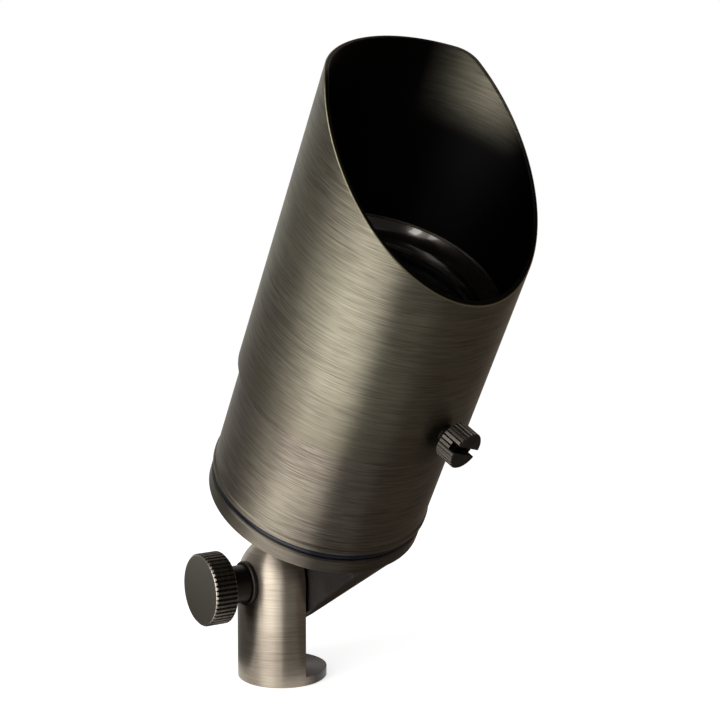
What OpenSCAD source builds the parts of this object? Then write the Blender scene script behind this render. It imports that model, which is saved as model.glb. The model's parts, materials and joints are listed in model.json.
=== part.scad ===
// Landscape spotlight: an aged-brass lamp head on a half-lap tilt joint.
// Millimetres. The origin is the centre of the stem's bottom face, with +Z up.
// The tilt axis lies along X, the clamp knob is on the -X side, and the head leans towards -Y.
// Heights named *_z in the head are measured along the head's axis from the tilt axis.

/* [Stem] */
// Diameter of the stem's round bar
stem_d = 25.4; // [24:0.2:30]
// Height of the tilt axis above the foot
pivot_h = 28.8; // [26:0.2:60]
// Thickness of the round ledge left at the foot, below the milled flat
foot_t = 2.8; // [2:0.1:6]
// How far the stem's milled flat stands past the bar's centre
stem_over = 0.4; // [0:0.1:1]
// Diameter of the tapped hole in the foot, at the root of its thread
tap_d = 6.8; // [4.2:0.1:7]
// Depth of the tapped hole
tap_depth = 14; // [8:1:18]
// Bevel round the foot and along the edges of the turned parts
edge_bevel = 0.4; // [0.2:0.1:0.8]

/* [Tilt joint] */
// Lean of the head from upright, as it is set in the photo
lean = 30; // [0:1:60]
// Gap between the stem's flat and the tongue's flat
lap_gap = 1.0; // [0.8:0.1:1.6]
// How far the tongue's flat stands past the head's axis
tongue_over = 0.6; // [0:0.1:1]
// Number of radial lock teeth on each flat
tooth_n = 24; // [12:1:30]
// Height of a lock tooth
tooth_h = 0.42; // [0.2:0.02:0.45]
// Outer diameter of the ring of lock teeth
tooth_ring_d = 23; // [20:0.2:23.6]
// Radial length of a lock tooth
tooth_l = 4.2; // [2:0.2:5]

/* [Clamp knob] */
// Diameter of the clamp stud
stud_d = 8; // [6:0.5:8]
// Length of stud inside the tongue
stud_reach = 9; // [6:0.5:9.6]
// Outer diameter of the washer between knob and stem
washer_d = 12.4; // [11:0.2:14]
// Thickness of that washer
washer_t = 1.4; // [1:0.1:2]
// Diameter of the knob's neck
neck_d = 10.6; // [9.6:0.1:12]
// Length of the knob's neck
neck_l = 6.9; // [4:0.1:12]
// Diameter of the knob's knurled head
knob_d = 20.3; // [16:0.1:26]
// Thickness of the knob's knurled head
knob_t = 6.8; // [5:0.1:10]
// Number of teeth in the knob's straight knurl
knob_knurl_n = 48; // [30:1:60]
// Depth of the knob's knurl
knob_knurl_h = 0.55; // [0.3:0.05:0.8]

/* [Base cap] */
// Distance from the tilt axis to the cap's underside
cap_z = 29.4; // [28:0.2:40]
// Height of the cap's rim
cap_t = 4.4; // [4:0.1:8]
// Thickness of the cap's floor
floor_t = 4; // [3.4:0.1:4.4]
// Length of the spigot above the cap's rim
spigot_l = 9.5; // [6:0.5:12]
// Wall of the spigot
spigot_wall = 3; // [2:0.2:4]
// Set-in of the tongue's cone from the cap's rim
cone_inset = 0.5; // [0.2:0.1:2]

/* [Cable entry] */
// Direction of the cable entry from the +X side, towards the back and the knob side
gland_turn = 127.6; // [126:0.2:129]
// Gap between the gland's locknut and the wall of the wiring well
gland_gap = 0.6; // [0.3:0.1:1]
// Thread diameter of the gland
gland_d = 8; // [7:0.5:8]
// Width across flats of the gland's hexagons
gland_af = 11; // [10:0.5:11]
// Diameter of the cable hole
cable_d = 4.6; // [3:0.2:4.6]
// Length of the gland below the cap's underside
gland_drop = 12; // [11:0.2:12.6]

/* [Seal and barrel] */
// Gap between cap and barrel that the O-ring fills
seal_gap = 2.2; // [1.6:0.1:3]
// Air between the lamp's front and the barrel's bore
lamp_air = 2.85; // [2.4:0.05:4]
// Wall of the barrel
barrel_wall = 2.4; // [1.8:0.1:2.8]
// Wall left at the barrel's thread
thread_wall = 2.95; // [2.5:0.05:4]
// Height of the low lip round the barrel's lower end
lip_h = 2; // [1:0.1:4]
// How far the lip stands out of the barrel
lip_proud = 0.4; // [0.2:0.1:0.5]
// Wall left at the barrel's mouth, outside the lens
mouth_wall = 1.4; // [1.2:0.1:1.8]
// Width of the shoulder under the lens
shoulder_w = 2.8; // [2:0.1:4]

/* [Lens] */
// Thickness of the lens gasket
gasket_t = 1; // [0.6:0.1:2]
// Thickness of the glass
glass_t = 3.8; // [3:0.1:5]
// Height of the bevelled ring over the glass
ring_h = 3; // [2:0.1:5]
// Width of the bevelled ring where it holds the glass
ring_w = 2.2; // [1.2:0.1:4]

/* [Lamp] */
// Height of the bracket that carries the lamp's socket above the cap's floor
bracket_h = 7.34; // [5:0.02:14]
// Diameter of the lamp's front
lamp_d = 49.5; // [48:0.1:50.5]
// Length of the lamp from its front to the end of its base
lamp_l = 44; // [42:0.5:46]
// Space between the lamp's front and the lens gasket
lamp_space = 0.8; // [0.4:0.1:3]
// Distance between the lamp's pins
pin_pitch = 5.33; // [4:0.01:6.35]
// Diameter of a pin
pin_d = 1.5; // [1:0.05:1.6]
// Length of a pin
pin_l = 7; // [5:0.5:8]
// Height of the lamp socket
socket_h = 11.4; // [10:0.2:13]
// Number of cooling slots in the lamp's body
slot_n = 16; // [8:1:24]

/* [Shroud] */
// Play of the shroud on the barrel, all of it on the side away from the thumb screw
shroud_play = 1.1; // [0.3:0.1:2]
// Wall of the shroud
shroud_wall = 1.2; // [0.8:0.1:1.3]
// Full length of the shroud, at the back
shroud_l = 86.9; // [80:0.2:110]
// Length of the shroud at the low point of its slanted cut
shroud_low = 48.4; // [40:0.1:60]
// Angle of the slanted cut from square
cut_angle = 37.4; // [20:0.2:50]
// Radius of the corner between the slanted cut and the square top
cut_round = 9; // [2:0.5:16]
// Height of the shroud's lower edge above the barrel's lower edge
shroud_lift = 33.6; // [5:0.2:58]
// Direction of the thumb screw and the cut's low point, from the +X side towards the front
screw_turn = 76; // [0:1:180]

/* [Thumb screw] */
// Height of the thumb screw above the shroud's lower edge
screw_up = 8.1; // [5.6:0.1:12]
// Thread diameter of the thumb screw
screw_d = 4.9; // [3.9:0.1:5.9]
// Length of bare thread between the shroud and the head
screw_bare = 2.3; // [0.6:0.1:4]
// Diameter of the knurled head
screw_head_d = 10.3; // [9:0.1:11]
// Thickness of the knurled head
screw_head_t = 5.6; // [4:0.1:8]
// Number of teeth round the head
screw_knurl_n = 28; // [16:1:32]
// Depth of the head's knurl
screw_knurl_h = 0.4; // [0.2:0.05:0.5]
// Width of the screwdriver slot
slot_w = 2; // [1:0.1:2.4]
// Depth of the screwdriver slot
slot_depth = 2; // [1:0.1:2.4]
// Turn of the slot, as the screw stands in the photo
slot_turn = 65; // [0:1:180]

/* [Hidden] */
$fn = 96;

// Clearances
run_gap = 0.05;       // radial gap of a shaft that turns in its bore
seat_gap = 0.02;      // gap between pieces that are pressed or clamped together
tip_gap = 0.1;        // gap between the thumb screw's tip and the barrel
over = 1;             // how far a cutting body reaches past what it cuts

// Stem and joint
stem_r = stem_d / 2;
head_x = stem_over + lap_gap + tongue_over;
spot_depth = stem_r - sqrt(pow(stem_r, 2) - pow(washer_d / 2, 2));
washer_z = stem_r - spot_depth + seat_gap;
neck_z = washer_z + washer_t + seat_gap;
knob_z = neck_z + neck_l;
stud_seat = knob_t - 2.2; // depth of the stud's hole in the knob's head
tap_x = -(stem_r - stem_over) / 2;

// Head, along its own axis: the barrel is as wide and as long as the lamp needs
head_r = lamp_d / 2 + lamp_air + barrel_wall;
head_d = 2 * head_r;
rim_z = cap_z + cap_t;
floor_z = cap_z + floor_t;
spigot_r = head_r - thread_wall - run_gap;
well_r = spigot_r - spigot_wall;
cone_r = head_r - cone_inset;
cone_reach = norm([cone_r, cap_z]);
gland_place = (well_r - gland_af / cos(30) / 2 - gland_gap) * [cos(gland_turn), sin(gland_turn)];
cone_angle = acos(stem_r / cone_reach) - atan2(cap_z, cone_r);
strap_z = floor_z + seat_gap;
seat_z = strap_z + bracket_h;
socket_z = seat_z + seat_gap;
lamp_end_z = socket_z + socket_h + seat_gap;
lamp_top_z = lamp_end_z + lamp_l;
barrel_z = rim_z + seal_gap;
barrel_l = lamp_top_z + lamp_space + gasket_t + glass_t + ring_h - barrel_z;
mouth_z = barrel_z + barrel_l;
mouth_r = head_r - mouth_wall;
glass_z = mouth_z - ring_h - glass_t;
gasket_z = glass_z - gasket_t;
shoulder_r = mouth_r - shoulder_w;
shoulder_t = 1.6;
shroud_z = barrel_z + shroud_lift;
shroud_bore_r = head_r + shroud_play / 2;
shroud_r = shroud_bore_r + shroud_wall;
shroud_d = 2 * shroud_r;
shroud_shift = shroud_play / 2 - run_gap;
screw_z = shroud_z + screw_up;

// Lamp, socket and bracket
lamp_base_l = 14;
lamp_base_d = 18;
lamp_rim_h = 4.2;
lamp_wall = 1.6;
optic_t = 2;
socket_w = 20;
socket_b = 11;
strap_t = 1;
strap_w = 12;
strap_half = 19;
leg_x = 11.5;
bracket_screw_x = 15.4;
bracket_screw_d = 3;
bracket_screw_l = 3.4;
socket_neck_w = 10.4;
socket_lug_t = 4;
socket_screw_x = 7.6;
socket_screw_d = 2.4;
socket_screw_l = 6.2;
pin_root = 3;
lead_d = 1.8;
lead_in = 2.5;
lead_out = 9;
lead_rise = 12;
lead_pitch = 2.1;
lead_start_x = 4.2;
lead_rings = 14;
lead_sides = 8;

// Colours, as the photo shows them
c_shroud = "#6b6350";
c_barrel = "#63564a";
c_stem = "#8a7c66";
c_knob = "#35302a";
c_rubber = "#14161c";
c_glass = "#9fb0b8";
c_inner = "#2a2a2c";
c_steel = "#9a9a98";
c_ceramic = "#e6dfd0";

// Places
module on_pivot() {
    translate([0, 0, pivot_h]) children();
}
module on_knob() {
    on_pivot() rotate([0, -90, 0]) children();
}
module on_head() {
    translate([head_x, 0, pivot_h]) rotate([lean, 0, 0]) children();
}
module on_shroud() {
    on_head() rotate([0, 0, -screw_turn]) translate([shroud_shift, 0, 0]) children();
}
module on_screw() {
    on_shroud() translate([0, 0, screw_z]) rotate([0, 90, 0]) children();
}
module on_gland() {
    on_head() translate(concat(gland_place, [cap_z])) children();
}

// Shared forms
// Turned disc or bar between two heights, with a bevel at either end
module turned(r, z0, z1, b0 = edge_bevel, b1 = edge_bevel) {
    rotate_extrude() polygon([
        [0, z0], [r - b0, z0], [r, z0 + b0], [r, z1 - b1], [r - b1, z1], [0, z1]
    ]);
}
// Ring of square section between two radii and two heights
module ring(r_in, r_out, z0, z1) {
    rotate_extrude() translate([r_in, z0]) square([r_out - r_in, z1 - z0]);
}
// Outline of a straight knurl: flat crests and V-shaped grooves cut to depth h
function knurl_outline(r, n, h, crest) = [
    for (i = [0 : n - 1], k = [-1, 1, 2])
        let (a = 360 / n * (i + (k == 2 ? 0.5 : k * crest / 2)), d = k == 2 ? h : 0)
            (r - d) * [cos(a), sin(a)]
];
// Knurled head with bevelled rims
module knurled(r, z0, z1, n, h, crest, bevel) {
    intersection() {
        translate([0, 0, z0]) linear_extrude(z1 - z0) polygon(knurl_outline(r, n, h, crest));
        turned(r + 0.01, z0, z1, bevel, bevel);
    }
}
// Ring of flat-topped radial lock teeth, rooted below z = 0
module lock_teeth(phase) {
    r1 = tooth_ring_d / 2;
    r0 = r1 - tooth_l;
    half = tan(360 / tooth_n / 4.4);
    for (i = [0 : tooth_n - 1])
        rotate([0, 0, phase + i * 360 / tooth_n])
            translate([0, 0, -0.5])
                linear_extrude(tooth_h + 0.5)
                    polygon([[r0, -r0 * half], [r1, -r1 * half], [r1, r1 * half], [r0, r0 * half]]);
}
module hexagon(af, z0, z1) {
    translate([0, 0, z0]) cylinder(d = af / cos(30), h = z1 - z0, $fn = 6);
}
// Cheese-head screw whose head sits on z = 0, with a slot in its head
module small_screw(d, l) {
    difference() {
        union() {
            translate([0, 0, -l]) cylinder(d = d, h = l + 0.1, $fn = 32);
            turned(d * 0.95, 0, d * 0.6, 0.1, 0.3);
        }
        translate([-d, -d / 8, d * 0.35]) cube([2 * d, d / 4, d]);
    }
}

// Stem: a round bar with a spherical end, milled flat above its foot
module stem() {
    color(c_stem) difference() {
        union() {
            difference() {
                union() {
                    turned(stem_r, 0, pivot_h, edge_bevel, 0);
                    on_pivot() sphere(r = stem_r);
                }
                translate([stem_over, -stem_d, foot_t]) cube([stem_d, 2 * stem_d, pivot_h + stem_d]);
            }
            translate([stem_over, 0, pivot_h]) rotate([0, 90, 0]) lock_teeth(0);
        }
        on_knob() translate([0, 0, -stem_r]) cylinder(r = stud_d / 2 + run_gap, h = stem_d + over);
        on_knob() translate([0, 0, stem_r - spot_depth]) cylinder(d = washer_d + 0.4, h = stem_r);
        translate([tap_x, 0, -over]) cylinder(d = tap_d, h = tap_depth + over);
        translate([tap_x, 0, -0.01]) cylinder(d1 = tap_d + 1, d2 = tap_d, h = 0.5);
    }
}

// Clamp knob, its stud and washer: local z runs out of the stem towards -X
module knob_washer() {
    color(c_knob) on_knob() difference() {
        turned(washer_d / 2, washer_z, washer_z + washer_t, 0.2, 0.3);
        translate([0, 0, washer_z - over]) cylinder(r = stud_d / 2 + 0.1, h = washer_t + 2 * over);
    }
}
module tilt_knob() {
    color(c_knob) on_knob() difference() {
        union() {
            turned(neck_d / 2, neck_z, knob_z + 0.5, 0.3, 0);
            knurled(knob_d / 2, knob_z, knob_z + knob_t, knob_knurl_n, knob_knurl_h, 0.42, 0.5);
        }
        translate([0, 0, neck_z - over]) cylinder(r = stud_d / 2 + seat_gap, h = neck_l + stud_seat + over);
    }
}
module knob_stud() {
    color(c_steel) on_knob() turned(stud_d / 2, -(stem_over + lap_gap + stud_reach), knob_z + stud_seat - 0.1, 0.8, 0.4);
}

// Base cap: rim, threaded spigot with a wiring well, and the half-cone tongue below
module tongue() {
    tangent_r = stem_r * cos(cone_angle);
    tangent_z = -stem_r * sin(cone_angle);
    difference() {
        union() {
            sphere(r = stem_r);
            rotate_extrude() polygon([
                [0, tangent_z], [tangent_r, tangent_z], [cone_r, cap_z], [cone_r, cap_z + over], [0, cap_z + over]
            ]);
        }
        translate([-tongue_over - head_d, -head_d, -head_d]) cube([head_d, 2 * head_d, head_d + cap_z]);
    }
    translate([-tongue_over, 0, 0]) rotate([0, -90, 0]) lock_teeth(360 / tooth_n / 2);
}
module base_cap() {
    color(c_barrel) on_head() difference() {
        union() {
            tongue();
            turned(head_r, cap_z, rim_z);
            turned(spigot_r, rim_z - over, rim_z + spigot_l, 0, 0.6);
        }
        translate([0, 0, floor_z]) cylinder(r = well_r, h = spigot_l + cap_t);
        translate([-tongue_over - over, 0, 0]) rotate([0, 90, 0])
            cylinder(r = stud_d / 2 + run_gap, h = stud_reach + 1.5 + over);
        translate(concat(gland_place, [cap_z - over])) cylinder(r = gland_d / 2 + seat_gap, h = floor_t + 2 * over);
        for (s = [-1, 1])
            translate([s * bracket_screw_x, 0, floor_z - 2.8])
                cylinder(r = bracket_screw_d / 2 + seat_gap, h = 2.8 + over);
    }
}

// Cable entry: gland through the cap's floor, locknut inside, rubber seal and cap nut outside
gland_neck_z = floor_t + 3;
gland_hex_t = 3;
gland_nut_z = -gland_hex_t - seat_gap;
module cable_gland() {
    color(c_knob) on_gland() difference() {
        union() {
            turned(gland_d / 2, -1, gland_neck_z, 0, 0.3);
            hexagon(gland_af, -gland_hex_t, -seat_gap);
            turned(gland_d / 2 - 0.6, -gland_hex_t - 4, -seat_gap, 0.3, 0);
        }
        translate([0, 0, -gland_drop]) cylinder(d = cable_d + 0.4, h = gland_drop + gland_neck_z + over);
    }
}
module gland_locknut() {
    color(c_steel) on_gland() difference() {
        hexagon(gland_af, floor_t + seat_gap, floor_t + 2.4);
        cylinder(r = gland_d / 2 + seat_gap, h = gland_neck_z + over);
    }
}
module gland_seal() {
    color(c_rubber) on_gland() difference() {
        turned(gland_d / 2 - 0.7, -gland_drop + 1.6 + seat_gap, -gland_hex_t - 4 - seat_gap, 0.3, 0.3);
        translate([0, 0, -gland_drop]) cylinder(d = cable_d, h = gland_drop);
    }
}
module gland_nut() {
    color(c_knob) on_gland() difference() {
        intersection() {
            hexagon(gland_af, -gland_drop, gland_nut_z);
            turned(gland_af / 2 + 0.7, -gland_drop, gland_nut_z, 2, 0.4);
        }
        translate([0, 0, -gland_drop + 1.6]) cylinder(r = gland_d / 2 - 0.6 + seat_gap, h = gland_drop);
        translate([0, 0, -gland_drop - over]) cylinder(d = cable_d + 0.8, h = gland_drop);
    }
}

// Socket bracket: a strap bent to a hat, screwed to the cap's floor
module socket_bracket() {
    color(c_steel) on_head() difference() {
        translate([0, strap_w / 2, 0]) rotate([90, 0, 0]) linear_extrude(strap_w) {
            for (s = [-1, 1]) {
                translate([s * (strap_half + leg_x) / 2, strap_z + strap_t / 2])
                    square([strap_half - leg_x, strap_t], center = true);
                translate([s * (leg_x + strap_t / 2), (strap_z + seat_z) / 2])
                    square([strap_t, seat_z - strap_z], center = true);
            }
            translate([-leg_x, seat_z - strap_t]) square([2 * leg_x, strap_t]);
        }
        for (s = [-1, 1]) {
            translate([s * bracket_screw_x, 0, strap_z - over])
                cylinder(r = bracket_screw_d / 2 + run_gap, h = 3 * strap_t);
            translate([s * socket_screw_x, 0, seat_z - 2 * strap_t])
                cylinder(r = socket_screw_d / 2 + run_gap, h = 3 * strap_t);
        }
    }
}
module bracket_screws() {
    color(c_steel) on_head() for (s = [-1, 1])
        translate([s * bracket_screw_x, 0, strap_z + strap_t + seat_gap]) small_screw(bracket_screw_d, bracket_screw_l);
}
module socket_screws() {
    color(c_steel) on_head() for (s = [-1, 1])
        translate([s * socket_screw_x, 0, socket_z + socket_lug_t]) small_screw(socket_screw_d, socket_screw_l);
}

// Two-pin ceramic socket with screw lugs
module lamp_socket() {
    color(c_ceramic) on_head() difference() {
        union() {
            translate([-socket_w / 2, -socket_b / 2, socket_z]) cube([socket_w, socket_b, socket_lug_t - seat_gap]);
            translate([-socket_neck_w / 2, -socket_b / 2, socket_z]) cube([socket_neck_w, socket_b, socket_h]);
        }
        for (s = [-1, 1]) {
            translate([s * pin_pitch / 2, 0, socket_z + pin_root]) cylinder(r = pin_d / 2 + 0.1, h = socket_h, $fn = 32);
            translate([s * socket_screw_x, 0, socket_z - over])
                cylinder(r = socket_screw_d / 2 + run_gap, h = socket_h);
        }
    }
}

// Leads from the socket's back to the gland, swept along a bent path
function bend(p, t) = pow(1 - t, 3) * p[0] + 3 * t * pow(1 - t, 2) * p[1] + 3 * t * t * (1 - t) * p[2] + pow(t, 3) * p[3];
function slope(p, t) = bend(p, min(t + 0.01, 1)) - bend(p, max(t - 0.01, 0));
module lead(side) {
    start = [side * lead_start_x, socket_b / 2 + seat_gap, socket_z + 2];
    drop = concat(gland_place + [side * lead_pitch / 2, 0], [cap_z + gland_neck_z - lead_in]);
    path = [start, start + [0, lead_out, 0], drop + [0, 0, lead_rise], drop];
    side_step = 360 / lead_sides;
    points = [
        for (i = [0 : lead_rings])
            let (t = i / lead_rings, d = slope(path, t) / norm(slope(path, t)), u = [1, 0, 0] - d[0] * d,
                 un = u / norm(u), v = cross(d, un))
                for (k = [0 : lead_sides - 1])
                    bend(path, t) + lead_d / 2 * (cos(k * side_step) * un + sin(k * side_step) * v)
    ];
    walls = [
        for (i = [0 : lead_rings - 1], k = [0 : lead_sides - 1])
            let (a = i * lead_sides + k, b = i * lead_sides + (k + 1) % lead_sides, n = lead_sides)
                each [[a, b + n, b], [a, a + n, b + n]]
    ];
    caps = [[for (k = [0 : lead_sides - 1]) k], [for (k = [lead_sides - 1 : -1 : 0]) lead_rings * lead_sides + k]];
    polyhedron(points, concat(walls, caps));
}
module leads() {
    color(c_rubber) on_head() for (side = [-1, 1]) lead(side);
}

// Lamp: base with two pins, finned body and clear optic
module lamp_pins() {
    color(c_steel) on_head() for (s = [-1, 1])
        translate([s * pin_pitch / 2, 0, 0])
            turned(pin_d / 2, lamp_end_z - pin_l, lamp_end_z + pin_root, 0.4, 0);
}
module lamp_base() {
    color(c_inner) on_head() difference() {
        rotate_extrude() polygon([
            [0, lamp_end_z], [lamp_base_d / 2 - 1.5, lamp_end_z], [lamp_base_d / 2, lamp_end_z + 1.5],
            [lamp_base_d / 2, lamp_end_z + lamp_base_l], [0, lamp_end_z + lamp_base_l]
        ]);
        for (s = [-1, 1])
            translate([s * pin_pitch / 2, 0, lamp_end_z - over])
                cylinder(r = pin_d / 2 + seat_gap, h = pin_root + seat_gap + over, $fn = 32);
    }
}
module lamp_body() {
    bowl_z = lamp_end_z + lamp_base_l + seat_gap;
    lip_z = lamp_top_z - lamp_rim_h;
    optic_r = lamp_d / 2 - lamp_wall;
    color(c_inner) on_head() difference() {
        rotate_extrude() polygon([
            [0, bowl_z], [lamp_base_d / 2 + 1, bowl_z], [lamp_base_d / 2 + 3, bowl_z + 8],
            [lamp_d / 2 - 1.5, lip_z - 3], [lamp_d / 2, lip_z], [lamp_d / 2, lamp_top_z],
            [optic_r, lamp_top_z], [optic_r, lamp_top_z - optic_t - 0.5], [0, lamp_top_z - optic_t - 0.5]
        ]);
        for (i = [0 : slot_n - 1])
            rotate([0, 0, i * 360 / slot_n])
                translate([lamp_base_d / 2 + 2.2, -1, bowl_z + 2]) cube([lamp_d, 2, lip_z - bowl_z - 6]);
    }
}
module lamp_optic() {
    color(c_glass) on_head()
        turned(lamp_d / 2 - lamp_wall - seat_gap, lamp_top_z - optic_t - 0.48, lamp_top_z - 0.5, 0.1, 0.3);
}

// O-ring between cap and barrel
module barrel_o_ring() {
    ring_r = seal_gap / 2 - seat_gap;
    color(c_rubber) on_head() rotate_extrude()
        translate([head_r - 0.3 - ring_r, rim_z + seal_gap / 2]) circle(r = ring_r, $fn = 48);
}

// Barrel: a tube with a threaded lower end, a low lip outside and a shoulder for the lens
module barrel() {
    thread_top = rim_z + spigot_l + 1;
    bore_r = head_r - barrel_wall;
    b = edge_bevel;
    color(c_barrel) on_head() rotate_extrude() polygon([
        [spigot_r + run_gap, barrel_z], [head_r + lip_proud - b, barrel_z], [head_r + lip_proud, barrel_z + b],
        [head_r + lip_proud, barrel_z + lip_h - lip_proud], [head_r, barrel_z + lip_h],
        [head_r, mouth_z - b], [head_r - b, mouth_z], [mouth_r, mouth_z],
        [mouth_r, gasket_z], [shoulder_r, gasket_z], [shoulder_r, gasket_z - shoulder_t],
        [bore_r, gasket_z - shoulder_t - (bore_r - shoulder_r)], [bore_r, thread_top + 0.6],
        [spigot_r + run_gap, thread_top]
    ]);
}

// Lens stack: gasket on the shoulder, glass, and the bevelled ring over it
module lens_gasket() {
    color(c_rubber) on_head() ring(shoulder_r + 0.2, mouth_r - seat_gap, gasket_z + seat_gap, glass_z - seat_gap);
}
module lens() {
    color(c_glass, 0.5) on_head() turned(mouth_r - 0.1, glass_z, glass_z + glass_t, 0.3, 0.5);
}
module lens_ring() {
    r1 = mouth_r - seat_gap;
    r0 = r1 - ring_w;
    z0 = glass_z + glass_t + seat_gap;
    color(c_inner) on_head() rotate_extrude() polygon(concat(
        [[r0, z0], [r1, z0], [r1, mouth_z]],
        [for (a = [0 : 15 : 90]) [r1 - 0.2 - (ring_w - 0.2) * sin(a), mouth_z - (ring_h - 0.6) * (1 - cos(a))]]
    ));
}

// Shroud: a tube with a square top and a slanted cut that is lowest over the thumb screw
// What the round corner takes away, with its arc's centre at the origin
module cut_corner() {
    half = cut_angle / 2;
    kite = [[0, 0], [0, 1], [tan(half), 1], [sin(cut_angle), cos(cut_angle)]];
    rotate([90, 0, 0]) difference() {
        linear_extrude(2 * shroud_d, center = true) polygon(1.3 * cut_round * kite);
        cylinder(r = cut_round, h = 3 * shroud_d, center = true);
    }
}
module shroud() {
    z1 = shroud_z + shroud_l;
    cut_top_x = shroud_r - (shroud_l - shroud_low) / tan(cut_angle);
    color(c_shroud) on_shroud() difference() {
        rotate_extrude() polygon([
            [shroud_bore_r + 0.2, shroud_z], [shroud_r - 0.2, shroud_z], [shroud_r, shroud_z + 0.2],
            [shroud_r, z1 - 0.2], [shroud_r - 0.2, z1], [shroud_bore_r + 0.2, z1],
            [shroud_bore_r, z1 - 0.2], [shroud_bore_r, shroud_z + 0.2]
        ]);
        translate([shroud_r, 0, shroud_z + shroud_low]) rotate([0, cut_angle, 0])
            translate([-4 * shroud_d, -shroud_d, 0]) cube([5 * shroud_d, 2 * shroud_d, 2 * shroud_l]);
        translate([cut_top_x - cut_round * tan(cut_angle / 2), 0, z1 - cut_round]) cut_corner();
        translate([0, 0, screw_z]) rotate([0, 90, 0]) cylinder(r = screw_d / 2 + run_gap, h = shroud_d, $fn = 48);
    }
}

// Thumb screw: local z runs out of the shroud
module thumb_screw() {
    tip_z = head_r - shroud_shift + tip_gap;
    head_z = shroud_r + screw_bare;
    top_z = head_z + screw_head_t;
    color(c_knob) on_screw() difference() {
        union() {
            turned(screw_d / 2, tip_z, head_z + over, 0.6, 0);
            knurled(screw_head_d / 2, head_z, top_z, screw_knurl_n, screw_knurl_h, 0.62, 0.4);
        }
        rotate([0, 0, slot_turn]) translate([-screw_head_d, -slot_w / 2, top_z - slot_depth])
            cube([2 * screw_head_d, slot_w, slot_depth + over]);
    }
}

stem();
knob_washer();
tilt_knob();
knob_stud();
base_cap();
cable_gland();
gland_locknut();
gland_seal();
gland_nut();
socket_bracket();
bracket_screws();
lamp_socket();
socket_screws();
leads();
lamp_base();
lamp_pins();
lamp_body();
lamp_optic();
barrel_o_ring();
barrel();
lens_gasket();
lens();
lens_ring();
shroud();
thumb_screw();
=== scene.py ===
"""Landscape spotlight: the finishes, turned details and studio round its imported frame.

Places are in metres in the part's own frame: the origin is the centre of the foot, +Z is up, the
tilt axis lies along X, the clamp knob is on the -X side and the head leans towards -Y. The sizes of
the turned pieces and of the patterns in their finishes are in millimetres.
"""

import json
import logging
import math
from dataclasses import dataclass, field
from enum import Enum

import bmesh
import bpy
from mathutils import Matrix, Quaternion, Vector

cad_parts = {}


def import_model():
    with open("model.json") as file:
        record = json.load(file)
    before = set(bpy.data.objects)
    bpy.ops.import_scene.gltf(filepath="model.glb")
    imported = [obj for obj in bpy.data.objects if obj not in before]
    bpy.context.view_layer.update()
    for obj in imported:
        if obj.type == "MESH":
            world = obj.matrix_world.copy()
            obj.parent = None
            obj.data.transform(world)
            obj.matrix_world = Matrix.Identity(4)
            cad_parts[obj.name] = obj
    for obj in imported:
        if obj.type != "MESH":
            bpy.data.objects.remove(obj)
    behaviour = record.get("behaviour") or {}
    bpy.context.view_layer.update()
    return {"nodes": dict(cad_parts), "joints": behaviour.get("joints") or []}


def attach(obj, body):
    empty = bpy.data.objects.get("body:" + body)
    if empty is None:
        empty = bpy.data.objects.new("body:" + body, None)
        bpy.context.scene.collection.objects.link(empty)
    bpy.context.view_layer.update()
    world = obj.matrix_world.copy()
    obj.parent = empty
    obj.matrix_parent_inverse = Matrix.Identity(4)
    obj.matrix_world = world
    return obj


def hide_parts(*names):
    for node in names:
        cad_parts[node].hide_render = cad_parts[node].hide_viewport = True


LOG = logging.getLogger("spotlight")
MM = 0.001
SCREW_JOINT_RADIUS = 35.0 * MM

Colour = tuple[float, float, float]
Socket = bpy.types.NodeSocket
Tree = bpy.types.NodeTree
Shape = bmesh.types.BMesh
Nodes = dict[str, bpy.types.Object]
Points = list[tuple[float, float]]

WORN = "worn"
WHITE = (1.0, 1.0, 1.0)
BLACK = (0.0, 0.0, 0.0)
WARM = (1.0, 0.87, 0.77)
# Painted shade: the dark sides and neck of the clamp knob.
PAINTED_SHADE_BRASS = (0.05, 0.043, 0.037)
SCRATCHED = (0.03, 0.026, 0.022)
WORN_BRASS = (0.5, 0.465, 0.26)
# Painted shade on the milled flats that face each other at the tilt joint, and under the stem's ledge.
MILLED_FACE_SHADE = (0.055, 0.05, 0.05)
# Painted shade inside the shroud.
INSIDE_SHADE = (0.008, 0.0076, 0.0075)

# How far below a face's height its colour is full, in millimetres.
FACE_EDGE = 0.05
# The gloss spreads across the brush marks, a quarter turn from their direction.
QUARTER_TURN = 0.25


# Places


@dataclass(frozen=True)
class Place:
    """A turned piece's own frame.

    Attributes:
        middle: its origin.
        axis: the direction that the piece was turned about.
    """

    middle: Vector
    axis: Vector

    def matrix(self) -> Matrix:
        """Returns the matrix that takes local points, with Z along the axis, to their place."""
        turn = Vector((0.0, 0.0, 1.0)).rotation_difference(self.axis.normalized())
        return Matrix.Translation(self.middle) @ turn.to_matrix().to_4x4()

    def turned_to(self, side: Vector) -> Matrix:
        """Returns the matrix of the same frame with its X axis turned to one side.

        Args:
            side: the direction of X, square to the axis.

        Returns:
            The matrix.
        """
        axis = self.axis.normalized()
        across = side.normalized()
        turn = Matrix((across, axis.cross(across), axis)).transposed()
        return Matrix.Translation(self.middle) @ turn.to_4x4()


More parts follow.
